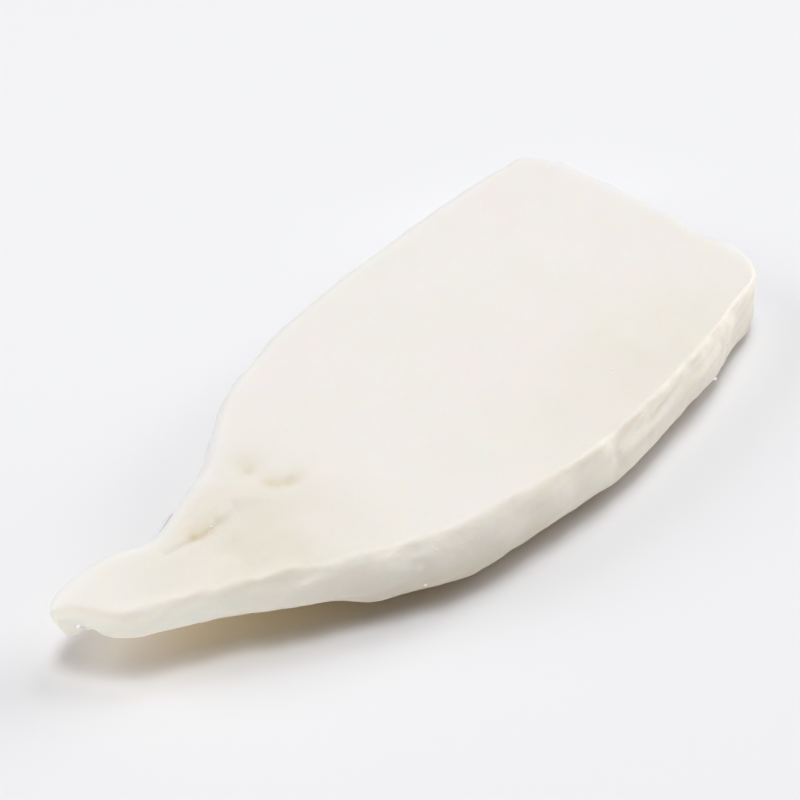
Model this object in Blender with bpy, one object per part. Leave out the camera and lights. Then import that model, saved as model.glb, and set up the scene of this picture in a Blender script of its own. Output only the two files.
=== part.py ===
"""A frozen squid tube: the cleaned mantle of a squid, laid flat and frozen shut.

The tube is one closed loft of unlike sections, from the tail tip to the mouth.
Every section has a rounded fold at each side, a slightly crowned top and a belly.
The tail rises off the table and bends to one side behind a narrow neck, and the
mouth ends in two rounded lips that meet in a shallow crease. Low relief on the
skin gives the neck its folds and pits, and the walls their ragged frozen flesh.
"""

import math
from collections import namedtuple

import bmesh
import bpy
import numpy as np

# Lines of the tube, in metres. A section stands square to the tube's length, at
# a distance along it from the tail tip. Left is +Y and right is -Y: the edges are
# where the section is widest, at the height called middle. The rim is the top at a
# fold, the foot the underside at a fold, and the keel the underside between them.
# A keel below zero is pressed flat on the table, which makes the resting face.
LENGTH = 0.218
Section = namedtuple("Section", "along left right rim middle foot keel")
TIP = Section(0.000, 0.0150, 0.0025, 0.0185, 0.0166, 0.0112, 0.0110)
TAIL = Section(0.010, 0.0157, -0.0080, 0.0187, 0.0150, 0.0117, 0.0110)
TAIL_MIDDLE = Section(0.020, 0.0149, -0.0127, 0.0189, 0.0142, 0.0113, 0.0101)
TAIL_END = Section(0.029, 0.0113, -0.0176, 0.0191, 0.0137, 0.0107, 0.0091)
NECK = Section(0.038, 0.0138, -0.0240, 0.0195, 0.0132, 0.0103, 0.0078)
COLLAR = Section(0.048, 0.0174, -0.0304, 0.0200, 0.0126, 0.0094, 0.0066)
SHOULDER = Section(0.056, 0.0212, -0.0352, 0.0205, 0.0120, 0.0072, 0.0052)
FLANK = Section(0.073, 0.0334, -0.0444, 0.0211, 0.0106, 0.0050, 0.0028)
CONE = Section(0.098, 0.0420, -0.0496, 0.0217, 0.0106, 0.0048, 0.0004)
WIDEST = Section(0.123, 0.0458, -0.0520, 0.0220, 0.0106, 0.0040, -0.0008)
BODY = Section(0.163, 0.0490, -0.0492, 0.0218, 0.0098, 0.0026, -0.0008)
BEFORE_MOUTH = Section(0.198, 0.0503, -0.0437, 0.0210, 0.0100, 0.0018, 0.0003)
MOUTH = Section(LENGTH, 0.0500, -0.0414, 0.0205, 0.0106, 0.0014, 0.0010)
SECTIONS = (TIP, TAIL, TAIL_MIDDLE, TAIL_END, NECK, COLLAR, SHOULDER, FLANK, CONE, WIDEST, BODY,
            BEFORE_MOUTH, MOUTH)

# Folds at the sides: their radii, the largest share of half the width that one may
# take, and the power of their superellipse. The crown is the top's rise mid-way.
TOP_FOLD_LEFT = 0.0065
TOP_FOLD_RIGHT = 0.0054
UNDER_FOLD = 0.0048
FOLD_SHARE = 0.8
FOLD_POWER = 2.4
CROWN = 0.0012

# Tail tip: a blunt nose whose point lies off the middle
TIP_SIDE = 0.0092
TIP_BLUNT = 0.012
TIP_ROUND = 0.0040

# Mouth: corners seen from above, lips, and the crease between them
CORNER_LEFT = 0.0145
CORNER_RIGHT = 0.0190
CORNER_REACH = 0.040
LIP_ROUND = 0.005
LIP_INSET = 0.0035
CREASE_DEPTH = 0.002
CREASE_GAP = 0.0006
DENT_SIDE = -0.0145
DENT_WIDTH = 0.009
DENT_DEPTH = 0.003

# Bell-shaped places: distance along, side, radius, and height upwards. The tip has a
# notch in its underside, and a lobe hangs from the right wall's foot at the shoulder.
Spot = namedtuple("Spot", "along side radius height")
UNDER_SPOTS = (
    Spot(0.0030, 0.0018, 0.0032, 0.0042),
    Spot(0.0578, -0.0345, 0.0055, -0.0018),
)

# Relief of the skin: places are (distance along, side). Lumps come in three sizes:
# broad, middling with more height on the walls, and frost on the right wall.
SPOTS = (
    Spot(0.0584, 0.0079, 0.0035, -0.0008),
    Spot(0.0549, -0.0008, 0.0045, 0.0010),
    Spot(0.0600, -0.0006, 0.0028, -0.0006),
    Spot(0.0626, -0.0020, 0.0030, -0.0009),
    Spot(0.0652, -0.0036, 0.0026, -0.0006),
    Spot(0.0465, 0.0075, 0.0070, 0.0008),
    Spot(0.0370, -0.0085, 0.0060, -0.0007),
)
NECK_FOLD = ((0.0284, 0.0025), (0.0348, 0.0013), (0.0389, -0.0001), (0.0412, -0.0007), (0.0467, 0.0),
             (0.0484, 0.0010))
NECK_FOLD_DEPTH = 0.0009
NECK_FOLD_WIDTH = 0.0018
TAIL_LIP = ((0.0087, -0.0038), (0.0147, -0.0070), (0.0242, -0.0116), (0.0296, -0.0156), (0.0435, -0.0223))
TAIL_LIP_HEIGHT = 0.0006
TAIL_LIP_WIDTH = 0.0022
TIP_FLAP = (0.0012, 0.0048, 0.0115)
TIP_FLAP_HEIGHT = 0.0020
TIP_FLAP_WIDTH = 0.0028
LUMP_SIZES = (0.017, 0.0075, 0.0048)
LUMP_HEIGHTS = (0.00035, 0.00015, 0.0007)
WALL_LUMP_HEIGHT = 0.00035
FROST_MIDDLE = 0.060
FROST_REACH = 0.020

# Fineness of the loft: the last number is how much closer the rows lie at the tail
NOSE_STEPS = 6
BODY_STEPS = 80
LIP_STEPS = 4
FOLD_STEPS = 5
FLAT_STEPS = 14
TAIL_CROWDING = 0.25


def smooth_curve(column, along):
    """A column of SECTIONS at each distance: cubic pieces that pass through every
    section with the slope of the curve between its neighbours."""
    knots = np.array([section.along for section in SECTIONS])
    values = np.array([getattr(section, column) for section in SECTIONS])
    slopes = np.gradient(values, knots)
    piece = np.clip(np.searchsorted(knots, along) - 1, 0, len(knots) - 2)
    span = knots[piece + 1] - knots[piece]
    part = (along - knots[piece]) / span
    rise = part * part * (3 - 2 * part)
    bend = slopes[piece] * part * (1 - part) ** 2 - slopes[piece + 1] * part * part * (1 - part)
    return values[piece] * (1 - rise) + values[piece + 1] * rise + span * bend


def rounded(distance, radius):
    """Quarter circle: 0 at an end, 1 from one radius inwards."""
    outside = 1 - np.clip(distance / radius, 0, 1)
    return np.sqrt(1 - outside * outside)


def section_columns():
    """Columns round a section, from the left edge over the top to the right edge and
    back under it: place across the flat part, angle up the fold, and top or under."""
    fold = np.linspace(0, math.pi / 2, FOLD_STEPS, endpoint=False)
    flat = np.linspace(1, -1, FLAT_STEPS + 1)
    across = np.concatenate((np.ones(FOLD_STEPS), flat, -np.ones(FOLD_STEPS)))
    angle = np.concatenate((fold, np.full(FLAT_STEPS + 1, math.pi / 2), fold[::-1]))
    face = np.concatenate((np.ones(len(across)), -np.ones(len(across) - 2)))
    across = np.concatenate((across, across[-2:0:-1]))
    angle = np.concatenate((angle, angle[-2:0:-1]))
    return across, angle, face


def section_rows():
    """Sections from the tail tip to the bottom of the mouth crease: distance along,
    share of the thickness kept, and how far the sides have come in."""
    nose = TIP_BLUNT * (1 - np.cos(np.linspace(0, math.pi / 2, NOSE_STEPS + 1)[1:]))
    step = np.linspace(0, 1, BODY_STEPS + 1)[1:]
    body = TIP_BLUNT + (LENGTH - LIP_ROUND - TIP_BLUNT) * step * (1 - TAIL_CROWDING + TAIL_CROWDING * step)
    turn = np.linspace(0, math.pi / 2, LIP_STEPS + 1)[1:]
    lip = LENGTH - LIP_ROUND * (1 - np.sin(turn))
    crease = LENGTH - CREASE_DEPTH * (1 - np.cos(turn))
    along = np.concatenate((nose, body, lip, crease))
    plain = len(nose) + len(body)
    share = np.concatenate((np.ones(plain), 0.5 + 0.5 * np.cos(turn), 0.5 - 0.5 * np.sin(turn)))
    inset = LIP_INSET * np.concatenate((np.zeros(plain), 1 - np.cos(turn), 1 + np.sin(turn)))
    share[:len(nose)] = rounded(nose, TIP_ROUND)
    return along, share, inset


def loft_points():
    """Rows by columns by (x, y, z). A fold is a quarter of a superellipse above and
    below the widest line; crown and belly are parabolas between the edges."""
    along, share, inset = (values[:, None] for values in section_rows())
    across, angle, face = section_columns()
    blunt = rounded(along, TIP_BLUNT)
    left = TIP_SIDE + (smooth_curve("left", along) - inset - TIP_SIDE) * blunt
    right = TIP_SIDE + (smooth_curve("right", along) + inset - TIP_SIDE) * blunt
    rim = smooth_curve("rim", along)
    foot = smooth_curve("foot", along)
    keel = smooth_curve("keel", along)
    middle = smooth_curve("middle", along)

    centre = (left + right) / 2
    half = (left - right) / 2
    top_fold = TOP_FOLD_RIGHT + (TOP_FOLD_LEFT - TOP_FOLD_RIGHT) * (1 + across) / 2
    fold = np.minimum(np.where(face > 0, top_fold, UNDER_FOLD), FOLD_SHARE * half)
    outwards = np.cos(angle) ** (2 / FOLD_POWER)
    upwards = np.sin(angle) ** (2 / FOLD_POWER)
    offset = across * (half - fold + fold * outwards)
    bulge = 1 - (offset / half) ** 2
    top = rim + CROWN * bulge
    under = foot - (foot - keel) * bulge
    for spot in UNDER_SPOTS:
        away = np.hypot(along - spot.along, centre + offset - spot.side)
        under = under + spot.height * np.exp(-(away / spot.radius) ** 2)
    height = np.where(face > 0, top - middle, under - middle) * upwards

    thinnest = np.where(along > LENGTH / 2, CREASE_GAP / 2 / (rim - middle), 0)
    y = centre + offset
    z = middle + height * np.maximum(share, thinnest)
    x = mouth_line(along, y, left + inset, right - inset)
    return np.stack(np.broadcast_arrays(x, y, z), axis=-1)


def mouth_line(along, y, left, right):
    """Distance along, with the mouth's two corners drawn back in quarter circles
    and a dent in its edge, which fade out towards the middle of the tube."""
    drop = CORNER_LEFT * (1 - rounded(left - y, CORNER_LEFT))
    drop = drop + CORNER_RIGHT * (1 - rounded(y - right, CORNER_RIGHT))
    drop = drop + DENT_DEPTH * np.exp(-((y - DENT_SIDE) / DENT_WIDTH) ** 2)
    near = np.clip(1 - (LENGTH - along) / CORNER_REACH, 0, 1)
    return along - drop * near * near * (3 - 2 * near)


def outward_normals(points):
    """Unit normals of the loft, from the differences between neighbouring points."""
    forward = np.gradient(points, axis=0)
    around = np.roll(points, -1, axis=1) - np.roll(points, 1, axis=1)
    normal = np.cross(around, forward)
    return normal / np.linalg.norm(normal, axis=-1, keepdims=True)


def lumps(points, size, seed):
    """Smooth noise from -1 to 1: random heights on a cubic lattice of this size,
    blended between the eight lattice corners round each point."""
    count = 32
    lattice = np.random.default_rng(seed).uniform(-1, 1, (count, count, count))
    low = np.floor(points / size).astype(int)
    part = points / size - low
    part = part * part * (3 - 2 * part)
    total = np.zeros(points.shape[:-1])
    for corner in np.ndindex(2, 2, 2):
        weight = np.prod(np.where(corner, part, 1 - part), axis=-1)
        cell = (low + np.array(corner)) % count
        total += weight * lattice[cell[..., 0], cell[..., 1], cell[..., 2]]
    return total


def distance_to_line(points, line):
    """Distance in plan from each point to a line through the given places."""
    nearest = np.full(points.shape[:-1], np.inf)
    for start, end in zip(np.array(line[:-1]), np.array(line[1:])):
        run = end - start
        part = np.clip((points[..., :2] - start) @ run / (run @ run), 0, 1)
        away = points[..., :2] - start - part[..., None] * run
        nearest = np.minimum(nearest, np.linalg.norm(away, axis=-1))
    return nearest


def relief(points, normals):
    """Height of the skin's relief: soft lumps all over, coarser on the walls and
    on the frosted stretch of the right wall, then the pits and bumps, the fold
    across the neck, the lip along the tail and the flap that hangs from its tip."""
    facing_up = np.clip(normals[..., 2], 0, 1) ** 2
    wall = 1 - normals[..., 2] ** 2
    right_wall = np.clip(-normals[..., 1], 0, 1) ** 2
    frost = right_wall * np.exp(-((points[..., 0] - FROST_MIDDLE) / FROST_REACH) ** 2)
    height = LUMP_HEIGHTS[0] * lumps(points, LUMP_SIZES[0], 1)
    height += (LUMP_HEIGHTS[1] + WALL_LUMP_HEIGHT * wall) * lumps(points, LUMP_SIZES[1], 2)
    height += LUMP_HEIGHTS[2] * frost * lumps(points, LUMP_SIZES[2], 3)
    for spot in SPOTS:
        away = np.hypot(points[..., 0] - spot.along, points[..., 1] - spot.side)
        height += facing_up * spot.height * np.exp(-(away / spot.radius) ** 2)
    fold = distance_to_line(points, NECK_FOLD) / NECK_FOLD_WIDTH
    height -= facing_up * NECK_FOLD_DEPTH * np.exp(-fold ** 2)
    lip = distance_to_line(points, TAIL_LIP) / TAIL_LIP_WIDTH
    height += facing_up * TAIL_LIP_HEIGHT * np.exp(-lip ** 2)
    flap = np.linalg.norm(points - TIP_FLAP, axis=-1) / TIP_FLAP_WIDTH
    height += TIP_FLAP_HEIGHT * np.exp(-flap ** 2)
    return height


def tube_points():
    """The finished skin and its tip: loft and relief, pressed flat on the table,
    with the origin under the middle of its box. The relief fades where the rings
    close up, at the tip and in the crease, so that the skin can't cross itself."""
    rings = loft_points()
    normals = outward_normals(rings)
    share = section_rows()[1]
    fade = np.minimum(2 * share, 1)[:, None]
    rings = rings + normals * (fade * relief(rings, normals))[..., None]
    rings[..., 2] = np.maximum(rings[..., 2], 0)
    tip = np.array((TIP.along, TIP_SIDE, TIP.middle))
    low = np.minimum(rings.min(axis=(0, 1)), tip)
    high = rings.max(axis=(0, 1))
    origin = np.array(((low[0] + high[0]) / 2, (low[1] + high[1]) / 2, low[2]))
    return rings - origin, tip - origin


def skin_mesh(name, rings, tip):
    """Joins the rings of points with four-sided faces, fans the first to the tail
    tip and closes the mouth with a strip along the bottom of the crease. The strip
    starts and ends in a triangle, whose corners name one point twice."""
    mesh = bmesh.new()
    nose = mesh.verts.new(tip)
    grid = [[mesh.verts.new(place) for place in ring] for ring in rings]
    columns = len(grid[0])
    for column in range(columns):
        after = (column + 1) % columns
        mesh.faces.new((nose, grid[0][column], grid[0][after]))
        for near, far in zip(grid, grid[1:]):
            mesh.faces.new((near[column], far[column], far[after], near[after]))
    crease = grid[-1]
    for column in range(columns // 2):
        corners = (crease[column], crease[column + 1], crease[-column - 1], crease[-column % columns])
        mesh.faces.new(dict.fromkeys(corners))
    bmesh.ops.recalc_face_normals(mesh, faces=mesh.faces)
    data = bpy.data.meshes.new(name)
    mesh.to_mesh(data)
    mesh.free()
    data.shade_smooth()
    return data


def frozen_flesh():
    """Matt, faintly warm white flesh under a thin glaze of ice."""
    material = bpy.data.materials.new("frozen_squid_flesh")
    material.use_nodes = True
    surface = material.node_tree.nodes["Principled BSDF"]
    surface.inputs["Base Color"].default_value = (0.85, 0.82, 0.76, 1)
    surface.inputs["Roughness"].default_value = 0.45
    surface.inputs["Metallic"].default_value = 0
    return material


for old in list(bpy.data.objects):
    bpy.data.objects.remove(old)
collection = bpy.data.collections.new("frozen_squid_tube")
bpy.context.scene.collection.children.link(collection)
squid_tube = bpy.data.objects.new("squid_tube", skin_mesh("squid_tube", *tube_points()))
squid_tube.data.materials.append(frozen_flesh())
collection.objects.link(squid_tube)
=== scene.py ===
# %% [markdown]
# # A frozen squid tube
#
# A squid tube is the cleaned mantle of a squid. This one was pressed flat, frozen
# and dipped in water, so it is a stiff, ivory white block of flesh, thick as two
# walls, under a thin and uneven glaze of ice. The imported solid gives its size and
# its large forms. Here it gets the surface that a reader would want to touch: soft
# lumps, a folded neck, ragged walls, frost and beads of ice.
#
# Every length in this lesson is in metres. The first cell loads the solid, and
# keeps the box that it fills, because all that follows has to stay inside it.

import math
from collections import namedtuple

import bpy
import numpy as np
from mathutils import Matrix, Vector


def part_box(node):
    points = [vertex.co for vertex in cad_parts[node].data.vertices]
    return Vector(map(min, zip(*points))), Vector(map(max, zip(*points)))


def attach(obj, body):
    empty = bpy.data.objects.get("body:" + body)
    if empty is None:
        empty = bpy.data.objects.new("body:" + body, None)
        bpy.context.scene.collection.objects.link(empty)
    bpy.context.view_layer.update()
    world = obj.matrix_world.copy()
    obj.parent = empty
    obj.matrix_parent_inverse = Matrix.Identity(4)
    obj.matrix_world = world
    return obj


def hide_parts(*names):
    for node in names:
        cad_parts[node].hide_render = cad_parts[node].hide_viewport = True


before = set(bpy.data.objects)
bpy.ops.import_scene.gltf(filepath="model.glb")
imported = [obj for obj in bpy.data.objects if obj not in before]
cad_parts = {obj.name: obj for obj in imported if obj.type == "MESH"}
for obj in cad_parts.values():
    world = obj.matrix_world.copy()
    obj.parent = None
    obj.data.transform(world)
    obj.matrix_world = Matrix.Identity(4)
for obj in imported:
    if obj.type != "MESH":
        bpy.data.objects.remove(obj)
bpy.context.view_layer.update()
low, high = (np.array(corner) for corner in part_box("squid_tube"))
print("solid, mm:", np.round((high - low) * 1000, 1))

# %% [markdown]
# ## Camera
#
# The tube lies at about 48 degrees across the picture and is seen from 40 degrees
# above the floor through a lens of 24 degrees. A camera that turns around a target
# is easiest to reason about: its place is the target plus a distance along one
# direction, and its rotation comes from the same direction.

# %% Camera
TURN = math.radians(48.225)
RISE = math.radians(40)
VIEW_ANGLE = math.radians(24)
CAMERA_DISTANCE = 0.4705
TARGET = np.array((-0.0053, -0.0006, 0.0200))

away = np.array((-math.sin(TURN), -math.cos(TURN), 0))
to_camera = away * math.cos(RISE) + np.array((0, 0, math.sin(RISE)))
camera = bpy.data.objects.new("camera", bpy.data.cameras.new("camera"))
camera.data.angle = VIEW_ANGLE
camera.data.clip_start = 0.01
camera.location = TARGET + CAMERA_DISTANCE * to_camera
camera.rotation_euler = (math.pi / 2 - RISE, 0, -TURN)
bpy.context.scene.collection.objects.link(camera)
bpy.context.scene.camera = camera
print("camera at, mm:", np.round(np.array(camera.location) * 1000))

# %% [markdown]
# ## Small helpers for materials
#
# Colours are easiest to pick as the hex values of a picture, but a shader wants
# linear light, so one function turns them over. Another adds a shader node: its own
# settings are named arguments, and its inputs are a dictionary, in which a socket
# becomes a link and anything else becomes a value.


# %% Helpers for colour and nodes
def linear(hex_colour):
    """Linear RGBA of an sRGB hex colour: below 0.04045 a channel is divided by
    12.92, above it is ((c + 0.055) / 1.055) to the power 2.4."""
    channels = np.array([int(hex_colour[i:i + 2], 16) / 255 for i in (0, 2, 4)])
    light = np.where(channels <= 0.04045, channels / 12.92, ((channels + 0.055) / 1.055) ** 2.4)
    return (*light, 1)


def fill(node, inputs):
    """Links or fills the inputs of a node that are named here."""
    for key, value in inputs.items():
        if isinstance(value, bpy.types.NodeSocket):
            node.id_data.links.new(value, node.inputs[key])
        else:
            node.inputs[key].default_value = value


def add(tree, kind, inputs, **settings):
    """One shader node with its settings and inputs."""
    node = tree.nodes.new(kind)
    for name, value in settings.items():
        setattr(node, name, value)
    fill(node, inputs)
    return node


def new_material(name):
    """An empty node material: its tree and its Principled BSDF."""
    material = bpy.data.materials.new(name)
    material.use_nodes = True
    return material, material.node_tree, material.node_tree.nodes["Principled BSDF"]


print("linear mid grey:", np.round(linear("808080"), 3))

# %% [markdown]
# ## Floor and light
#
# The tube lies on plain white board. A tent would light it from everywhere and leave
# no shadow, and one lamp would leave too hard a one. Three soft boxes in a row hang
# above it instead, from a little in front to well behind, so the top is bright and
# the shadow lies close. A large card on the left, and one on the right and behind,
# open up the shade of the wall that faces the viewer, and a pale world fills the
# rest. Each lamp says by how many degrees it leans to the right and away from the
# viewer, as seen from the tube.

# %% Floor and light
FLOOR_SIZE = 6.0
LAMP_DISTANCE = 2.2
SKY_STRENGTH = 0.19
Lamp = namedtuple("Lamp", "name right behind width power")
LAMPS = (
    Lamp("soft_box", 0, 0, 0.60, 13.6),
    Lamp("front_box", 0, -12, 0.60, 5.8),
    Lamp("back_box", 15, 25, 0.60, 5.6),
    Lamp("left_card", -60, 0, 1.40, 22.0),
    Lamp("right_card", 60, 45, 1.40, 21.8),
)

floor_mesh = bpy.data.meshes.new("floor")
half = FLOOR_SIZE / 2
floor_corners = [(-half, -half, 0), (half, -half, 0), (half, half, 0), (-half, half, 0)]
floor_mesh.from_pydata(floor_corners, [], [(0, 1, 2, 3)])
floor = bpy.data.objects.new("floor", floor_mesh)
bpy.context.scene.collection.objects.link(floor)
board, tree, surface = new_material("white board, matt")
fill(surface, {"Base Color": linear("ECECEE"), "Roughness": 0.9, "Specular IOR Level": 0.1})
floor_mesh.materials.append(board)

to_right = np.array((math.cos(TURN), -math.sin(TURN), 0))
for lamp in LAMPS:
    light = bpy.data.objects.new(lamp.name, bpy.data.lights.new(lamp.name, "AREA"))
    light.data.shape = "SQUARE"
    light.data.size = lamp.width
    light.data.energy = lamp.power
    aside, behind = (math.tan(math.radians(angle)) for angle in (lamp.right, lamp.behind))
    up = to_right * aside - away * behind + np.array((0, 0, 1))
    light.location = up / np.linalg.norm(up) * LAMP_DISTANCE
    light.rotation_euler = light.location.to_track_quat("Z", "Y").to_euler()
    bpy.context.scene.collection.objects.link(light)

world = bpy.data.worlds.new("studio")
world.use_nodes = True
sky = world.node_tree.nodes["Background"]
fill(sky, {"Color": linear("FBFCFF"), "Strength": SKY_STRENGTH})
bpy.context.scene.world = world
bpy.context.scene.view_settings.view_transform = "Standard"
print("lamps:", [lamp.name for lamp in LAMPS])

# %% [markdown]
# ## The lines of the tube
#
# The block is a loft: a row of unlike sections, each square to the tube's length.
# A section is seven lengths: its place *along* the tube, *left* and *right*, where
# it is widest, *rim*, the top at a fold, *middle*, the height at which it is widest,
# *foot*, the underside at a fold, and *keel*, the underside between the folds. One
# could sculpt this by hand, but named sections can be checked one by one against a
# photograph.

# %% Sections
LENGTH = 0.218
Section = namedtuple("Section", "along left right rim middle foot keel")
SECTIONS = (
    Section(0.000, 0.0150, 0.0025, 0.0185, 0.0166, 0.0112, 0.0110),
    Section(0.010, 0.0157, -0.0080, 0.0187, 0.0150, 0.0117, 0.0110),
    Section(0.020, 0.0149, -0.0127, 0.0189, 0.0142, 0.0113, 0.0101),
    Section(0.029, 0.0113, -0.0176, 0.0191, 0.0137, 0.0107, 0.0091),
    Section(0.038, 0.0138, -0.0240, 0.0195, 0.0132, 0.0103, 0.0078),
    Section(0.048, 0.0174, -0.0304, 0.0200, 0.0126, 0.0094, 0.0066),
    Section(0.056, 0.0212, -0.0352, 0.0205, 0.0120, 0.0072, 0.0052),
    Section(0.073, 0.0334, -0.0444, 0.0211, 0.0106, 0.0050, 0.0028),
    Section(0.098, 0.0420, -0.0496, 0.0217, 0.0106, 0.0048, 0.0004),
    Section(0.123, 0.0458, -0.0520, 0.0220, 0.0106, 0.0040, -0.0008),
    Section(0.163, 0.0490, -0.0492, 0.0218, 0.0098, 0.0026, -0.0008),
    Section(0.198, 0.0503, -0.0437, 0.0210, 0.0100, 0.0018, 0.0003),
    Section(LENGTH, 0.0500, -0.0414, 0.0205, 0.0106, 0.0014, 0.0010),
)


def smooth_curve(column, along):
    """A column of SECTIONS at each distance: cubic pieces that pass through every
    section with the slope of the curve between its neighbours."""
    knots = np.array([section.along for section in SECTIONS])
    values = np.array([getattr(section, column) for section in SECTIONS])
    slopes = np.gradient(values, knots)
    piece = np.clip(np.searchsorted(knots, along) - 1, 0, len(knots) - 2)
    span = knots[piece + 1] - knots[piece]
    part = (along - knots[piece]) / span
    rise = part * part * (3 - 2 * part)
    bend = slopes[piece] * part * (1 - part) ** 2 - slopes[piece + 1] * part * part * (1 - part)
    return values[piece] * (1 - rise) + values[piece + 1] * rise + span * bend


half_way_width = smooth_curve("left", LENGTH / 2) - smooth_curve("right", LENGTH / 2)
print("width half-way, mm:", round(1000 * float(half_way_width), 1))

# %% [markdown]
# ## Rows and columns
#
# A grid of two parameters carries the skin. Its rows run from the tail tip to the
# bottom of the crease between the lips, closest at the tail, where the forms are
# small. Its columns go once round a section: fold, top, fold, underside.

# %% Rows and columns
NOSE_STEPS, BODY_STEPS, LIP_STEPS = 14, 366, 10
FOLD_STEPS, FLAT_STEPS = 16, 86
TAIL_CROWDING = 0.25
TIP_BLUNT = 0.012
TIP_ROUND = 0.0040
LIP_ROUND = 0.005
LIP_INSET = 0.0035
CREASE_DEPTH = 0.002


def rounded(distance, radius):
    """Quarter circle: 0 at an end, 1 from one radius inwards."""
    outside = 1 - np.clip(distance / radius, 0, 1)
    return np.sqrt(1 - outside * outside)


def section_columns():
    """Columns once round a section: place across the flat part, angle up the fold,
    and +1 on top or -1 underneath."""
    fold = np.linspace(0, math.pi / 2, FOLD_STEPS, endpoint=False)
    flat = np.linspace(1, -1, FLAT_STEPS + 1)
    across = np.concatenate((np.ones(FOLD_STEPS), flat, -np.ones(FOLD_STEPS)))
    angle = np.concatenate((fold, np.full(FLAT_STEPS + 1, math.pi / 2), fold[::-1]))
    face = np.concatenate((np.ones(len(across)), -np.ones(len(across) - 2)))
    return np.concatenate((across, across[-2:0:-1])), np.concatenate((angle, angle[-2:0:-1])), face


def section_rows():
    """Rows from tip to crease: distance along, share of the thickness kept, and how
    far the sides have come in. The lips are quarter circles, closing to a crease."""
    nose = TIP_BLUNT * (1 - np.cos(np.linspace(0, math.pi / 2, NOSE_STEPS + 1)[1:]))
    step = np.linspace(0, 1, BODY_STEPS + 1)[1:]
    crowded = step * (1 - TAIL_CROWDING + TAIL_CROWDING * step)
    body = TIP_BLUNT + (LENGTH - LIP_ROUND - TIP_BLUNT) * crowded
    turn = np.linspace(0, math.pi / 2, LIP_STEPS + 1)[1:]
    lip = LENGTH - LIP_ROUND * (1 - np.sin(turn))
    crease = LENGTH - CREASE_DEPTH * (1 - np.cos(turn))
    plain = len(nose) + len(body)
    share = np.concatenate((np.ones(plain), 0.5 + 0.5 * np.cos(turn), 0.5 - 0.5 * np.sin(turn)))
    share[:len(nose)] = rounded(nose, TIP_ROUND)
    inset = LIP_INSET * np.concatenate((np.zeros(plain), 1 - np.cos(turn), 1 + np.sin(turn)))
    return np.concatenate((nose, body, lip, crease)), share, inset


print("rows:", len(section_rows()[0]), "columns:", len(section_columns()[0]))

# %% [markdown]
# ## The loft
#
# A fold is a quarter of a superellipse, which is a circle with squarer shoulders,
# because frozen flesh that was pressed between plates has sides rounder than a box
# and flatter than a pipe. The front fold is tighter towards the mouth, where the rim
# of the real one is crisp. Two spots shape the underside: a notch that parts the tip
# in two, and a lobe at the foot of the wall.

# %% Skin of the loft
TIP_SIDE = 0.0092
TOP_FOLD_LEFT, TOP_FOLD_RIGHT, UNDER_FOLD = 0.0065, 0.0054, 0.0048
FOLD_SHARE = 0.8
FOLD_POWER = 2.4
TIGHTER_FOLD = 0.0018
TIGHTER_FROM, TIGHTER_OVER = 0.080, 0.035
CROWN = 0.0012
CORNER_LEFT, CORNER_RIGHT = 0.0145, 0.0190
CORNER_REACH = 0.040
CREASE_GAP = 0.0006
DENT_SIDE, DENT_WIDTH, DENT_DEPTH = -0.0145, 0.009, 0.003
Spot = namedtuple("Spot", "along side radius height")
UNDER_SPOTS = (Spot(0.0030, 0.0018, 0.0032, 0.0042), Spot(0.0578, -0.0345, 0.0070, -0.0011))


def bell(distance, width):
    """Bell curve: 1 in the middle, 1/e at one width."""
    return np.exp(-(distance / width) ** 2)


def spot_bell(x, y, spot):
    """The height of a spot in plan: a bell of its radius."""
    return spot.height * bell(np.hypot(x - spot.along, y - spot.side), spot.radius)


def ramp(value, start, over):
    """0 up to the start, 1 from start plus over, straight in between."""
    return np.clip((value - start) / over, 0, 1)


def mouth_line(along, y, left, right):
    """Distance along, with the mouth's two corners drawn back in quarter circles
    and a dent in its edge, which fade out towards the middle of the tube."""
    drop = CORNER_LEFT * (1 - rounded(left - y, CORNER_LEFT))
    drop = drop + CORNER_RIGHT * (1 - rounded(y - right, CORNER_RIGHT))
    drop = drop + DENT_DEPTH * bell(y - DENT_SIDE, DENT_WIDTH)
    near = np.clip(1 - (LENGTH - along) / CORNER_REACH, 0, 1)
    return along - drop * near * near * (3 - 2 * near)


def tube_grid():
    """Rows by columns by (x, y, z). The top is the rim plus a parabola, the
    underside the foot less a parabola, and the folds bend one into the other."""
    along, share, inset = (values[:, None] for values in section_rows())
    across, angle, face = section_columns()
    blunt = rounded(along, TIP_BLUNT)
    left = TIP_SIDE + (smooth_curve("left", along) - inset - TIP_SIDE) * blunt
    right = TIP_SIDE + (smooth_curve("right", along) + inset - TIP_SIDE) * blunt
    rim = smooth_curve("rim", along)
    foot = smooth_curve("foot", along)
    keel = smooth_curve("keel", along)
    middle = smooth_curve("middle", along)
    centre = (left + right) / 2
    half_width = (left - right) / 2
    right_fold = TOP_FOLD_RIGHT - TIGHTER_FOLD * ramp(along, TIGHTER_FROM, TIGHTER_OVER)
    top_fold = right_fold + (TOP_FOLD_LEFT - right_fold) * (1 + across) / 2
    fold = np.minimum(np.where(face > 0, top_fold, UNDER_FOLD), FOLD_SHARE * half_width)
    offset = across * (half_width - fold + fold * np.cos(angle) ** (2 / FOLD_POWER))
    bulge = 1 - (offset / half_width) ** 2
    top = rim + CROWN * bulge
    under = foot - (foot - keel) * bulge
    y = centre + offset
    under = under + sum(spot_bell(along, y, spot) for spot in UNDER_SPOTS)
    height = np.where(face > 0, top - middle, under - middle) * np.sin(angle) ** (2 / FOLD_POWER)
    thinnest = np.where(along > LENGTH / 2, CREASE_GAP / 2 / (rim - middle), 0)
    z = middle + height * np.maximum(share, thinnest)
    x = mouth_line(along, y, left + inset, right - inset)
    return np.stack(np.broadcast_arrays(x, y, z), axis=-1)


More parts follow.
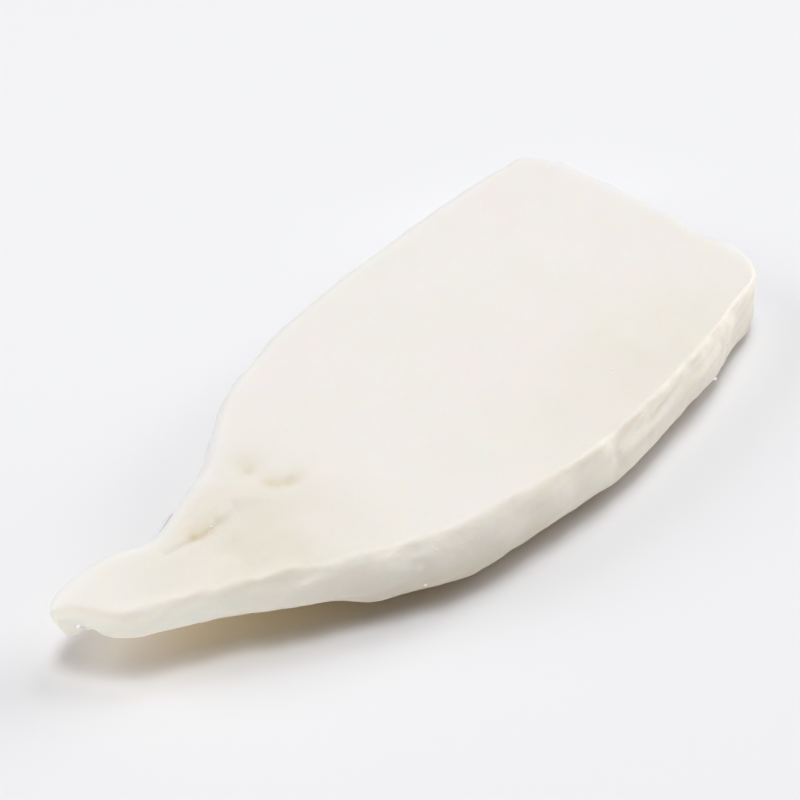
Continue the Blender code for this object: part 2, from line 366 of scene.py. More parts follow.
def outward_normals(points):
    """Unit normals: the cross product of the steps round and along the grid."""
    forward = np.gradient(points, axis=0)
    around = np.roll(points, -1, axis=1) - np.roll(points, 1, axis=1)
    normal = np.cross(around, forward)
    return normal / np.linalg.norm(normal, axis=-1, keepdims=True)


plain_skin = tube_grid()
skin_normals = outward_normals(plain_skin)
print("skin, mm:", np.round(1000 * np.ptp(plain_skin, axis=(0, 1)), 1))

# %% [markdown]
# ## Noise for living surfaces
#
# Flesh isn't regular, but it isn't white noise either: its lumps have a size. Value
# noise gives that. Random heights sit at the corners of a lattice of cubes, and a
# point takes the smooth blend of its eight corners. A lattice with unlike sides
# gives fibres. Several sizes added together give a ragged surface.


# %% Noise
LATTICE = 32


def lumps(points, size, seed):
    """Smooth noise from -1 to 1 with lumps of this size, a number or one for each
    axis: the blend of eight random lattice heights with weights 3t^2 - 2t^3."""
    lattice = np.random.default_rng(seed).uniform(-1, 1, (LATTICE, LATTICE, LATTICE))
    place = points / np.asarray(size)
    base = np.floor(place).astype(int)
    part = place - base
    part = part * part * (3 - 2 * part)
    total = np.zeros(points.shape[:-1])
    for corner in np.ndindex(2, 2, 2):
        weight = np.prod(np.where(corner, part, 1 - part), axis=-1)
        cell = (base + np.array(corner)) % LATTICE
        total += weight * lattice[cell[..., 0], cell[..., 1], cell[..., 2]]
    return total


def crumbly(points, size, seed):
    """Three sizes of lumps, each half as large and half as high as the one before,
    folded at zero, so that the hills are round and the valleys are sharp."""
    sizes = [np.asarray(size) / 2 ** k for k in range(3)]
    total = sum(np.abs(lumps(points, sizes[k], seed + k)) / 2 ** k for k in range(3))
    return total / 0.9 - 1


def beside(points, line):
    """Distance in plan to the nearest place on a line of straight runs, counted
    above zero to the left of the run and below zero to its right."""
    nearest = np.full(points.shape[:-1], np.inf)
    for start, end in zip(np.array(line[:-1]), np.array(line[1:])):
        run = end - start
        gap = points[..., :2] - start
        part = np.clip(gap @ run / (run @ run), 0, 1)
        distance = np.linalg.norm(gap - part[..., None] * run, axis=-1)
        turn = run[0] * gap[..., 1] - run[1] * gap[..., 0]
        nearest = np.where(distance < np.abs(nearest), np.copysign(distance, turn), nearest)
    return nearest


print("noise from", round(float(lumps(plain_skin, 0.0075, 2).min()), 2))

# %% [markdown]
# ## Which way the skin faces
#
# A form belongs to the top, to a wall or to the mouth's end. A hard border between
# them would show as a step, so each gets a soft weight from the normal. A texture is
# a height, the size of its lumps and the seed of its noise.


# %% Facing and textures
Texture = namedtuple("Texture", "height size seed")


def facing(normals, axis, sign=1):
    """1 where the skin faces along an axis, 0 from a right angle on: the normal's
    share, squared. Axis 0 points to the mouth, 1 to the back wall and 2 up."""
    return np.clip(sign * normals[..., axis], 0, 1) ** 2


def wall_mask(normals):
    """1 where the skin faces the side, 0 where it faces up or down."""
    return 1 - normals[..., 2] ** 2


def rough(points, *textures):
    """The height of a soft texture, plus that of a crumbly one if it is given."""
    return sum(texture.height * noise(points, texture.size, texture.seed)
               for texture, noise in zip(textures, (lumps, crumbly)))


def slanted(points):
    """Points sheared to (x + 1.2 z, y, z - 0.25 x): lumps that are long in x then
    run up the wall aslant, as the fibres of the flesh do."""
    x, y, z = np.moveaxis(points, -1, 0)
    return np.stack((x + 1.2 * z, y, z - 0.25 * x), axis=-1)


print("share of wall:", round(float(wall_mask(skin_normals).mean()), 2))

# %% [markdown]
# ## Relief of the walls
#
# The walls are where the two layers of the mantle turn round, ragged and lined
# aslant. A bump in the material would look flat at the outline, so this is real
# relief, along the normals. The front wall also has large lumps beside the cone,
# where the body narrows to the neck, a ridge, a streak, and small lobes along its
# foot, where thaw water froze.

# %% Walls
SOFT_LUMPS = Texture(0.00035, 0.017, 1)
SKIN_LUMPS = Texture(0.00015, 0.0075, 2)
WALL_ROUGHER = 7 / 3
CONE_LUMPS = Texture(0.0007, 0.0048, 3)
CONE_PLACE, CONE_LONG = 0.060, 0.020
FIBRES = Texture(0.00026, (0.0110, 0.0030, 0.0013), 11)
CREASES = Texture(0.00026, (0.0080, 0.0040, 0.0030), 21)
BACK_GRAIN = Texture(0.00022, 0.0030, 31)
BACK_CRUMBLE = Texture(0.00060, 0.0100, 33)
MOUTH_GRAIN = Texture(0.00025, 0.0035, 35)
MOUTH_CRUMBLE = Texture(0.00060, 0.0090, 37)
MOUTH_FROM, MOUTH_OVER = 0.190, 0.020
WALL_RIDGE = ((0.130, 0.0150), (0.150, 0.0142), (0.179, 0.0146))
RIDGE_HEIGHT, RIDGE_WIDTH = 0.0005, 0.0014
GROOVE_DEPTH, GROOVE_WIDTH = 0.0003, 0.0012
GROOVE_PLACE = 0.0026
WALL_STREAK = ((0.0610, 0.0176), (0.0667, 0.0152))
STREAK_HEIGHT, STREAK_WIDTH = 0.0005, 0.0007
SCALLOP_FROM, SCALLOP_LONG = 0.0444, 0.0097
SCALLOP_HIGH = 0.0005
SCALLOP_LEVEL, SCALLOP_BAND = 0.0065, 0.0030
SCALLOP_SPREAD = 0.026


def foot_scallops(x, z):
    """A sine of 10 mm, pinched by a power to narrow notches, in a band along the
    foot that is strongest in front of the neck."""
    wave = np.abs(np.sin(math.pi * (x - SCALLOP_FROM) / SCALLOP_LONG)) ** 0.6 - 0.7
    band = bell(z - SCALLOP_LEVEL, SCALLOP_BAND) * bell(x - CONE_PLACE, SCALLOP_SPREAD)
    return SCALLOP_HIGH * wave * band


def wall_relief(points, normals):
    """Soft lumps everywhere, more on the walls, then fibres and creases aslant, a
    rougher back wall and mouth end, and the forms of the front wall. The ridge has
    a groove along each side, a bell around 2.6 mm from its line. The lines on the
    wall are drawn in x and z."""
    x, z = points[..., 0], points[..., 2]
    wall = wall_mask(normals)
    height = rough(points, SOFT_LUMPS) + (1 + WALL_ROUGHER * wall) * rough(points, SKIN_LUMPS)
    height += wall * rough(slanted(points), FIBRES, CREASES)
    height += facing(normals, 1) * rough(points, BACK_GRAIN, BACK_CRUMBLE)
    mouth_end = facing(normals, 0) * ramp(x, MOUTH_FROM, MOUTH_OVER)
    height += mouth_end * rough(points, MOUTH_GRAIN, MOUTH_CRUMBLE)
    ridge = np.abs(beside(points[..., ::2], WALL_RIDGE))
    streak = beside(points[..., ::2], WALL_STREAK)
    front = bell(x - CONE_PLACE, CONE_LONG) * rough(points, CONE_LUMPS) + foot_scallops(x, z)
    front += RIDGE_HEIGHT * bell(ridge, RIDGE_WIDTH) + STREAK_HEIGHT * bell(streak, STREAK_WIDTH)
    front -= GROOVE_DEPTH * bell(ridge - GROOVE_PLACE, GROOVE_WIDTH)
    return height + facing(normals, 1, -1) * front


print("walls, mm:", np.round(1000 * np.ptp(wall_relief(plain_skin, skin_normals)), 2))

# %% [markdown]
# ## Relief of the top
#
# The top is nearly flat, with fibres too low to see one by one. Towards the mouth it
# slopes down a little to the front rim, which is ragged there and has one small
# step: a rise and a dip that follow each other along it.

# %% Top and front rim
TOP_FIBRES = Texture(0.00004, (0.010, 0.0022, 0.004), 51)
RIM_FROM, RIM_OVER = 0.085, 0.030
RIM_DROP, RIM_DROP_WIDTH = 0.0014, 0.0110
RIM_WIDTH = 0.0030
RIM_LUMPS = Texture(0.00034, 0.0034, 65)
RIM_CRUMBLE = Texture(0.00030, 0.0050, 66)
RIM_STEP = ((0.1235, 0.0006), (0.1295, -0.0009))
RIM_STEP_WIDTH = 0.0035


def top_relief(points, normals):
    """Fibres, less the slope to the front rim, plus the ragged rim with its step."""
    x, y = points[..., 0], points[..., 1]
    far = ramp(x, RIM_FROM, RIM_OVER)
    from_rim = y - smooth_curve("right", np.clip(x, 0, LENGTH))
    flat = rough(points, TOP_FIBRES) - far * RIM_DROP * bell(from_rim, RIM_DROP_WIDTH)
    ragged = rough(points, RIM_LUMPS, RIM_CRUMBLE)
    for place, step in RIM_STEP:
        ragged += step * bell(x - place, RIM_STEP_WIDTH)
    rim = far * bell(from_rim, RIM_WIDTH) * np.clip(normals[..., 2] + 0.3, 0, 1)
    return facing(normals, 2) * flat + rim * ragged


print("top, mm:", np.round(1000 * np.ptp(top_relief(plain_skin, skin_normals)), 2))

# %% [markdown]
# ## Relief of the neck and the tail
#
# The neck carries the most: a fold where the fin was pulled off, with the left flap
# lying over the right, and two torn pits behind it. A lip runs along the tail and a
# flap of skin hangs at its tip. Each is drawn as a spot or a line in plan and given
# a bell for a profile. Torn flesh has no straight lines, so the places are first
# shifted by a little noise.

# %% Neck and tail
SPOTS = (
    Spot(0.0586, 0.0073, 0.0035, -0.0006),
    Spot(0.0549, -0.0008, 0.0045, 0.0010),
    Spot(0.0600, -0.0006, 0.0028, -0.0006),
    Spot(0.0604, -0.0019, 0.0026, -0.0008),
    Spot(0.0639, -0.0035, 0.0024, -0.0008),
    Spot(0.0465, 0.0075, 0.0070, 0.0008),
    Spot(0.0370, -0.0085, 0.0060, -0.0007),
    Spot(0.0639, -0.0027, 0.0010, -0.0003),
    Spot(0.0588, 0.0069, 0.0011, -0.0002),
)
NECK_FOLD = ((0.0284, 0.0025), (0.0348, 0.0013), (0.0389, -0.0001), (0.0412, -0.0007),
             (0.0467, 0.0), (0.0484, 0.0010))
FLAP_EDGE = (*NECK_FOLD, (0.0510, -0.0007), (0.0540, -0.0045))
TAIL_LIP = ((0.0087, -0.0038), (0.0147, -0.0070), (0.0242, -0.0116), (0.0296, -0.0156),
            (0.0435, -0.0223))
TIP_FLAP = (0.0012, 0.0048, 0.0115)
WAVER = 0.0007
FOLD_DEPTH, FOLD_WIDTH = 0.0006, 0.0019
LINE_DEPTH, LINE_WIDTH = 0.00018, 0.0005
LINE_PLACE, LINE_LONG = 0.0360, 0.0090
BANK_HEIGHT, BANK_WIDTH = 0.0005, 0.0050
BANK_EDGE = 0.0010
NECK_PLACE, NECK_LONG = 0.042, 0.014
LIP_HEIGHT, LIP_WIDTH = 0.0006, 0.0022
FLAP_HEIGHT, FLAP_WIDTH = 0.0020, 0.0028
NECK_LUMPS = Texture(0.00018, 0.0036, 57)
NECK_CRUMBLE = Texture(0.00012, 0.0050, 58)
LIP_LUMPS = Texture(0.0003, 0.0030, 61)
FLAP_LUMPS = Texture(0.0006, 0.0016, 71)


def wavering(points):
    """Points shifted in plan by up to 0.7 mm of noise."""
    shift = (lumps(points, 0.0028, 55), lumps(points, 0.0028, 56), 0 * points[..., 2])
    return points + WAVER * np.stack(shift, axis=-1)


def neck_relief(points, normals):
    """The spots, then the fold, a soft trough with a fine line in it, then the flap,
    a bank that is high to the left of its edge and falls away to the right."""
    x, y = points[..., 0], points[..., 1]
    height = sum(spot_bell(x, y, spot) for spot in SPOTS)
    fold = beside(wavering(points), NECK_FOLD)
    line = bell(fold, LINE_WIDTH) * bell(x - LINE_PLACE, LINE_LONG)
    height -= FOLD_DEPTH * bell(fold, FOLD_WIDTH) + LINE_DEPTH * line
    edge = beside(wavering(points), FLAP_EDGE)
    over = 0.5 + 0.5 * np.clip(edge / BANK_EDGE, -1, 1)
    torn = BANK_HEIGHT * over * bell(edge, BANK_WIDTH) + rough(points, NECK_LUMPS, NECK_CRUMBLE)
    return facing(normals, 2) * (height + bell(x - NECK_PLACE, NECK_LONG) * torn)


def tail_relief(points, normals):
    """The lip, a bell with a lumpy crest, and a ball of a bump with lumps on it for
    the flap at the tip."""
    lip = beside(wavering(points), TAIL_LIP)
    height = LIP_HEIGHT * bell(lip, LIP_WIDTH) + bell(lip, 0.0010) * rough(points, LIP_LUMPS)
    flap = np.linalg.norm(points - TIP_FLAP, axis=-1)
    ball = FLAP_HEIGHT * bell(flap, FLAP_WIDTH) + bell(flap, 0.0024) * rough(points, FLAP_LUMPS)
    return facing(normals, 2) * height + ball


print("neck, mm:", np.round(1000 * np.ptp(neck_relief(plain_skin, skin_normals)), 2))

# %% [markdown]
# ## Frost, and the skin with all its relief
#
# Frost clings to the front rim beside the cone, to a streak on the wall, and
# thinly to all of that rim. It is rough, so it is relief and later also a colour.
# The relief fades out where the rings close up, or the skin would cross itself.

# %% Add the relief
FROST_HEIGHT, FROST_GRAIN, FROST_SEED = 0.00030, 0.0036, 41
FROSTY_TILT = 0.65
FROSTY_PLACE, FROSTY_LONG = 0.066, 0.016
STREAK_FROST = 0.0008


def frost_mask(points, normals):
    """A bell on skin that leans out at about 50 degrees on the front side, strongest
    66 mm from the tip, and another along the streak."""
    rim = bell(normals[..., 2] - FROSTY_TILT, 0.40) * np.clip(-normals[..., 1] * 3, 0, 1)
    rim = rim * (0.15 + 0.60 * bell(points[..., 0] - FROSTY_PLACE, FROSTY_LONG))
    streak = bell(beside(points[..., ::2], WALL_STREAK), STREAK_FROST)
    return np.clip(rim + np.clip(-normals[..., 1], 0, 1) * streak, 0, 1)


def relief(points, normals):
    """Height along the normal: the sum of all forms and of the rough frost."""
    forms = (wall_relief, top_relief, neck_relief, tail_relief)
    height = sum(form(points, normals) for form in forms)
    frost = FROST_HEIGHT * crumbly(points, FROST_GRAIN, FROST_SEED)
    return height + frost_mask(points, normals) * frost


closing = np.minimum(2 * section_rows()[1], 1)[:, None]
skin = plain_skin + skin_normals * (closing * relief(plain_skin, skin_normals))[..., None]
skin[..., 2] = np.maximum(skin[..., 2], 0)
print("relief, mm:", np.round(1000 * np.linalg.norm(skin - plain_skin, axis=-1).max(), 2))

# %% [markdown]
# ## From the lesson's lines to the solid's frame
#
# The sections count from the tail tip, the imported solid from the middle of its
# box. Stretching the box of this skin onto the box of the solid, by far less than a
# millimetre, moves it there and keeps every bump inside the solid's size.

# %% Place the skin in the solid's box
tip = np.array((0.0, TIP_SIDE, SECTIONS[0].middle))
own_low = np.minimum(skin.min(axis=(0, 1)), tip)
own_high = skin.max(axis=(0, 1))


def placed(points):
    """Points from the lines' frame to the solid's: each axis is a straight ramp
    from this skin's lowest and highest value to the solid's."""
    return low + (np.asarray(points) - own_low) / (own_high - own_low) * (high - low)


print("stretch:", np.round((high - low) / (own_high - own_low), 4))

# %% [markdown]
# ## Putting a grid into a mesh
#
# The rings are joined by four-sided faces. The first ring fans out from the tail
# tip, and the last, which lies at the bottom of the crease, is sewn shut by a strip
# from its upper half to its lower half. A closed mesh whose faces point outwards
# has a positive volume, so the helper measures that and prints it.


# %% Mesh helpers
def ring_faces(rows, columns):
    """Four corners for each cell of a grid that closes on itself round a ring."""
    index = np.arange(rows * columns).reshape(rows, columns)
    after = np.roll(index, -1, axis=1)
    cells = np.stack((index[:-1], index[1:], after[1:], after[:-1]), axis=-1)
    return [tuple(cell) for cell in cells.reshape(-1, 4).tolist()]


def signed_volume(points, faces):
    """Sum of the tetrahedra from the origin to each triangle of each face."""
    total = 0.0
    for size in {len(face) for face in faces}:
        corners = points[np.array([face for face in faces if len(face) == size])]
        for k in range(1, size - 1):
            normal = np.cross(corners[:, k], corners[:, k + 1])
            total += np.einsum("ij,ij->", corners[:, 0], normal) / 6
    return total


def new_piece(name, points, faces, material):
    """A smooth, closed mesh object at the origin, with faces turned outwards."""
    volume = signed_volume(points, faces)
    if volume < 0:
        faces = [face[::-1] for face in faces]
    mesh = bpy.data.meshes.new(name)
    mesh.from_pydata(points.tolist(), [], faces)
    mesh.shade_smooth()
    mesh.materials.append(material)
    piece = bpy.data.objects.new(name, mesh)
    bpy.context.scene.collection.objects.link(piece)
    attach(piece, "root")
    print(name, len(faces), "faces,", round(abs(volume) * 1e6, 3), "cubic cm")
    return piece


# %% [markdown]
# ## Masks of colour
#
# A material has to know where the wall is, where the glaze is thick, and where the
# flesh is stained. Those are facts about places on the skin, so they are worked out
# with the same curves as the relief and stored on the mesh as named attributes. A
# stain or a yellow place is an oval bell in plan, and lumps make some uneven.

# %% Stained and yellow flesh
Patch = namedtuple("Patch", "along side long wide strength")
STAINS = (Patch(0.0356, 0.0011, 0.0009, 0.0009, 0.32), Patch(0.0605, 0.0100, 0.0030, 0.0048, 0.10))
UNEVEN_STAINS = (
    Patch(0.0388, 0.0010, 0.00528, 0.0033, 0.36),
    Patch(0.0588, 0.0069, 0.0016, 0.0016, 0.24),
    Patch(0.0595, -0.0008, 0.0023, 0.0023, 0.58),
    Patch(0.0632, -0.0031, 0.00285, 0.0019, 0.46),
)
LINE_STAIN = 0.16
YELLOW_NECK = Patch(0.042, -0.011, 0.024, 0.024, 0.9)
YELLOW_FLANK = Patch(0.158, -0.042, 0.0504, 0.026, 0.50)


def oval(points, patch):
    """A bell in plan, with one radius along the tube and one across it."""
    along = (points[..., 0] - patch.along) / patch.long
    side = (points[..., 1] - patch.side) / patch.wide
    return patch.strength * bell(np.hypot(along, side), 1)


def stain_mask(points, normals):
    """A brown line along the neck fold and all the stains, on the upper side."""
    fold_line = bell(beside(points, NECK_FOLD), 0.0008) * bell(points[..., 0] - 0.0335, 0.0060)
    stain = LINE_STAIN * fold_line + sum(oval(points, patch) for patch in STAINS)
    uneven = 0.6 + 0.4 * lumps(points, 0.0016, 97)
    stain = stain + uneven * sum(oval(points, patch) for patch in UNEVEN_STAINS)
    return np.clip(stain * np.clip(normals[..., 2] * 2, 0, 1), 0, 1)


def yellow_mask(points):
    """Yellowish flesh round the neck, and fainter in a long patch on the front
    flank, each times its own lumps."""
    neck = 0.85 + 0.35 * lumps(points, 0.008, 95) + 0.10 * lumps(points, 0.003, 96)
    flank = 0.9 + 0.2 * lumps(points, 0.006, 98)
    return np.clip(oval(points, YELLOW_NECK) * neck + oval(points, YELLOW_FLANK) * flank, 0, 1)


stained = stain_mask(plain_skin, skin_normals) > 0.05
print("stained share:", round(float(stained.mean()), 4))

# %% [markdown]
# The walls are painted darker low down, as painted shade where less light comes
# through from the top. The glaze is thickest along the back edge and round the mouth,
# where water stood longest before it froze, and clear ice looks cooler and greyer than flesh.

# %% Low walls and glaze
STREAK_FIBRES = Texture(1.4, (0.012, 0.006, 0.0020), 83)
GLAZE_WAVE = Texture(0.0012, 0.009, 81)
GLAZE_LEFT, GLAZE_MOUTH = 0.0045, 0.0055
LOW_PLACE, LOW_LONG = 0.080, 0.026
LOW_SHARE, STREAK_SHARE = 0.35, 0.36


def low_shade_and_streaks_mask(points, normals):
    """Painted shade on the lowest 15 mm of the walls, most where the body is
    deepest, and the flesh's own streaks aslant on the wall towards the mouth."""
    x, z = points[..., 0], points[..., 2]
    low_down = LOW_SHARE + (1 - LOW_SHARE) * bell(x - LOW_PLACE, LOW_LONG)
    low_down = low_down * ramp(0.015 - z, 0, 0.010)
    streaks = ramp(x, RIM_FROM, RIM_OVER) * np.clip(rough(slanted(points), STREAK_FIBRES), 0, 1)
    return wall_mask(normals) * np.clip(low_down + STREAK_SHARE * streaks, 0, 1)


def glaze_mask(points):
    """Thick ice that fades in over the last few millimetres to the left edge and
    to the mouth, by a wavy amount."""
    x, y = points[..., 0], points[..., 1]
    wavy = rough(points, GLAZE_WAVE)
    from_left = smooth_curve("left", np.clip(x, 0, LENGTH)) - y + wavy
    from_mouth = LENGTH - x + wavy
    ice = bell(np.maximum(from_left, 0), GLAZE_LEFT) + bell(np.maximum(from_mouth, 0), GLAZE_MOUTH)
    return np.clip(ice, 0, 1)


def back_wall_shade_mask(normals):
    """Painted shade: greyer on the back wall, where the skin faces well to the left."""
    return np.clip(1.4 * normals[..., 1] - 0.3, 0, 1)


print("glazed share:", round(float(glaze_mask(plain_skin).mean()), 2))

# %% [markdown]
# ## Masks of light
#
# Light that goes into the top scatters through the flesh and comes out again below
# and from the wall, which is why the tail has a pale, warm shadow. Blender traces
# such light for what the camera sees, but the floor gets none of it, and its shadow
# turns out too dark. So the light that came through is a weak glow of the material
# instead: strong where the flesh is thin, yellower where it had a long way to go.

# %% Masks of light
THINNEST = 0.0075
THROUGH_DEPTH = 0.0042
WALL_LIGHT, THIN_LIGHT, FAR_LIGHT = 0.26, 0.10, 0.04
FAR_FROM, FAR_OVER = 0.095, 0.020
DEEPEST, DEEPEST_LONG, DEEPEST_LOSS = 0.080, 0.024, 0.45
LOW_LOSS = 0.25
LIT_FROM, LIT_OVER = 0.0222, 0.0035


def thinness(points):
    """1 at the tail tip, 7.5 mm thick, and 1/e of that with each 4.2 mm more."""
    along = np.clip(points[..., 0], 0, LENGTH)
    thickness = smooth_curve("rim", along) - smooth_curve("keel", along)
    return np.exp(-(thickness - THINNEST) / THROUGH_DEPTH)


def under_mask(normals):
    """The underside, where the skin faces well down."""
    return ramp(-normals[..., 2], 0.55, 0.4)


def deep_mask(points, normals):
    """The underside: 0 where it is thinnest, 1 where the thinness is half or less."""
    return under_mask(normals) * np.clip(2 - 2 * thinness(points), 0, 1)


def through_mask(points, normals):
    """Light from the underside, by its thinness, and from the front wall: less of it
    where the body is deepest, low down, and close to the rim, which is lit anyway."""
    x, z = points[..., 0], points[..., 2]
    thin = thinness(points)
    front = wall_mask(normals) * np.clip(0.1 - 1.5 * normals[..., 1], 0, 1)
    light = WALL_LIGHT + THIN_LIGHT * thin + FAR_LIGHT * ramp(x, FAR_FROM, FAR_OVER)
    light = light * (1 - DEEPEST_LOSS * bell(x - DEEPEST, DEEPEST_LONG))
    light = light * (1 - LOW_LOSS + LOW_LOSS * ramp(z, 0.004, 0.010))
    light = light * np.clip((LIT_FROM - z) / LIT_OVER, 0.2, 1)
    return np.maximum(under_mask(normals) * thin, front * light)


def tail_wall_light_mask(points, normals):
    """The tail's thin wall, painted paler than the rest for the light that comes
    through it: a smooth step 3t^2 - 2t^3.
    """
    fade = ramp(0.050 - points[..., 0], 0, 0.025)
    return wall_mask(normals) * fade * fade * (3 - 2 * fade)


masks = {
    "wall": wall_mask(skin_normals),
    "low": low_shade_and_streaks_mask(plain_skin, skin_normals),
    "tail_wall_light": tail_wall_light_mask(plain_skin, skin_normals),
    "under": under_mask(skin_normals),
    "through": through_mask(plain_skin, skin_normals),
    "deep": deep_mask(plain_skin, skin_normals),
    "glaze": glaze_mask(plain_skin),
    "back_wall_shade": back_wall_shade_mask(skin_normals),
    "stain": stain_mask(plain_skin, skin_normals),
    "yellow": yellow_mask(plain_skin),
    "frost": frost_mask(plain_skin, skin_normals),
}
print({name: round(float(mask.mean()), 3) for name, mask in masks.items()})

# %% [markdown]
# ## Material: frozen squid flesh
#
# Squid mantle is nearly free of pigment. Frozen, it is dense white protein full of
# tiny ice crystals: light goes in, scatters a few millimetres and comes out ivory,
# a little redder than it went in. So the shader is a Principled BSDF with plenty of
# subsurface, and a faint mottling at the size of muscle blocks, 22 and 30 mm. Its
# grain is 1 mm, coarser than real fibres of 0.1 mm, which would not show. The
# colours are layers, each laid over the last by its mask. Five of them are painted
# light and shade: warmer walls, a paler thin tail wall, a tan underside that tints
# the light it throws onto the floor, darker low walls and a greyer back wall. The
# glaze on top is water ice, index 1.31, dulled by frost: a coat with a broad, soft
# highlight.

# %% Frozen flesh
FLESH_IVORY = "EEEAE5"
FLESH_PINK = "EEE8E5"
FLESH_GREEN = "ECE9E2"
LAYERS = (
    ("yellow", "E3DDCD"),
    # Painted light: the walls are warmer than the top, for light that scatters through the flesh
    # and bounces up from the warm shadow.
    ("wall", "EDE7DB"),
    # Painted shade low on the walls, together with the flesh's own streaks.
    ("low", "D6CAB2"),
    # Painted light: the thin tail wall is paler, for light that comes through it.
    ("tail_wall_light", "F8F6EA"),
    # Painted light: a tan underside, so that the light it throws onto the floor is warm, as light
    # through the flesh would be.
    ("under", "C4A26C"),
    ("glaze", "EFF0F2"),
    # Painted shade: a greyer back wall, where the skin faces well to the left.
    ("back_wall_shade", "DBDBD7"),
    ("frost", "FAF6EC"),
    ("stain", "CBB47A"),
)
LIGHT_THROUGH_THIN = "FFFAEE"
LIGHT_THROUGH_DEEP = "FFEFB0"
GLOW_STRENGTH = 0.46
SCATTER = 0.0035
FLESH_INDEX = 1.38
ICE_INDEX = 1.31
MIX_A, MIX_B = 6, 7

flesh, tree, surface = new_material("frozen squid flesh, glazed")


def mask_value(tree, name):
    """The value of one of the skin's attributes."""
    return add(tree, "ShaderNodeAttribute", {}, attribute_name=name).outputs["Fac"]


def object_place(tree):
    """The place on the object, in metres, which noise is read at."""
    return add(tree, "ShaderNodeTexCoord", {}).outputs["Object"]


def mixed(tree, factor, first, second):
    """Two colours mixed by a factor."""
    inputs = {0: factor, MIX_A: first, MIX_B: second}
    return add(tree, "ShaderNodeMix", inputs, data_type="RGBA").outputs[2]


def patches(tree, size, sharpness, offset=0.0, least=0.0, most=1.0):
    """Blender's noise with features of this size, spread from least to most."""
    inputs = {"Vector": object_place(tree), "Scale": 1 / size, "Detail": 3.0, "W": offset}
    noise = add(tree, "ShaderNodeTexNoise", inputs, noise_dimensions="4D").outputs["Fac"]
    spread = {"Value": noise, "From Min": 0.5 - 0.5 / sharpness, "From Max": 0.5 + 0.5 / sharpness,
              "To Min": least, "To Max": most}
    return add(tree, "ShaderNodeMapRange", spread).outputs["Result"]


colour = mixed(tree, patches(tree, 0.030, 3.0), linear(FLESH_IVORY), linear(FLESH_PINK))
colour = mixed(tree, patches(tree, 0.022, 4.0, 7.0), colour, linear(FLESH_GREEN))
for mask_name, shade in LAYERS:
    colour = mixed(tree, mask_value(tree, mask_name), colour, linear(shade))
fill(surface, {
    "Base Color": colour,
    "Roughness": patches(tree, 0.004, 2.0, 3.0, 0.38, 0.60),
    "IOR": FLESH_INDEX,
    "Subsurface Weight": 0.7,
    "Subsurface Radius": (1.0, 0.72, 0.48),
    "Subsurface Scale": SCATTER,
    "Coat Weight": 0.25,
    "Coat Roughness": 0.32,
    "Coat IOR": ICE_INDEX,
})
print("layers of colour:", [mask_name for mask_name, shade in LAYERS])

# %% [markdown]
# The light that came through is added as emission. The grain is a bump of a fifth
# of a millimetre, and on the walls a second one is stretched lengthwise to fibres.

# %% Glow and grain of the flesh
GRAIN_SIZE = 0.0011
FIBRE_SIZE = 0.0009
FIBRE_STRETCH = 0.18


def math_node(tree, operation, first, second):
    """One sum or product of two values."""
    return add(tree, "ShaderNodeMath", {0: first, 1: second}, operation=operation).outputs["Value"]


place = object_place(tree)
grain = add(tree, "ShaderNodeTexNoise", {"Vector": place, "Scale": 1 / GRAIN_SIZE, "Detail": 4.0})
long_way = add(tree, "ShaderNodeMapping", {"Vector": place, "Scale": (FIBRE_STRETCH, 1.0, 1.0)})
fibre_inputs = {"Vector": long_way.outputs["Vector"], "Scale": 1 / FIBRE_SIZE, "Detail": 3.0}
fibre = add(tree, "ShaderNodeTexNoise", fibre_inputs)
fibre_on_wall = math_node(tree, "MULTIPLY", fibre.outputs["Fac"], mask_value(tree, "wall"))
height = math_node(tree, "ADD", grain.outputs["Fac"], fibre_on_wall)
bump = add(tree, "ShaderNodeBump", {"Strength": 0.35, "Distance": 0.0002, "Height": height})
deep = mask_value(tree, "deep")
fill(surface, {
    "Normal": bump.outputs["Normal"],
    "Emission Color": mixed(tree, deep, linear(LIGHT_THROUGH_THIN), linear(LIGHT_THROUGH_DEEP)),
    "Emission Strength": math_node(tree, "MULTIPLY", mask_value(tree, "through"), GLOW_STRENGTH),
})
print("flesh nodes:", len(tree.nodes))

# %% [markdown]
# ## The tube itself
#
# The pieces meet here: grid, placed in the solid's box, closed at both ends, with
# the masks as attributes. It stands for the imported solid, which is then hidden.

# %% Build the tube
rows, columns = skin.shape[:2]
nose_fan = [(rows * columns, column, (column + 1) % columns) for column in range(columns)]
last = (rows - 1) * columns
sewn = []
for k in range(columns // 2):
    corners = (last + k, last + k + 1, last + columns - k - 1, last + -k % columns)
    sewn.append(tuple(dict.fromkeys(corners)))
all_faces = ring_faces(rows, columns) + nose_fan + sewn
all_points = placed(np.concatenate((skin.reshape(-1, 3), tip[None])))
tube = new_piece("frozen_tube", all_points, all_faces, flesh)
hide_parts("squid_tube")
for name, mask in masks.items():
    values = np.append(mask.reshape(-1), mask[0].mean()).astype(np.float32)
    tube.data.attributes.new(name, "FLOAT", "POINT").data.foreach_set("value", values)

# %% [markdown]
# ## Materials: frost and clear ice
#
# Frost is a heap of fine crystals: white, matt and a little see-through at its
# edges. A bead of ice froze from a drop, so it is smooth, and it shows mostly by a
# bright point of light. Air and scratches make so small a bead cloudy: perfectly
# clear ones would look like dark glass. Light passes right through such small
# things, and a weak glow stands for it, so that no crumb has a black side. The thin
# flake, seen edge on, is painted the greyest of them, as painted shade along its edge.

# %% Frost and ice
FROST_GLOW = 0.14
ICE_GLOW = 0.28


def new_ice(name, pale, dark, cloud_size, inputs):
    """Ice with clouds of two whites, scattering all colours alike."""
    ice, tree, surface = new_material(name)
    clouds = mixed(tree, patches(tree, cloud_size, 2.0), linear(pale), linear(dark))
    fill(surface, {"Base Color": clouds, "IOR": ICE_INDEX, "Subsurface Radius": (1.0, 1.0, 1.0)})
    fill(surface, {"Emission Color": linear("FFFFFF"), **inputs})
    return ice


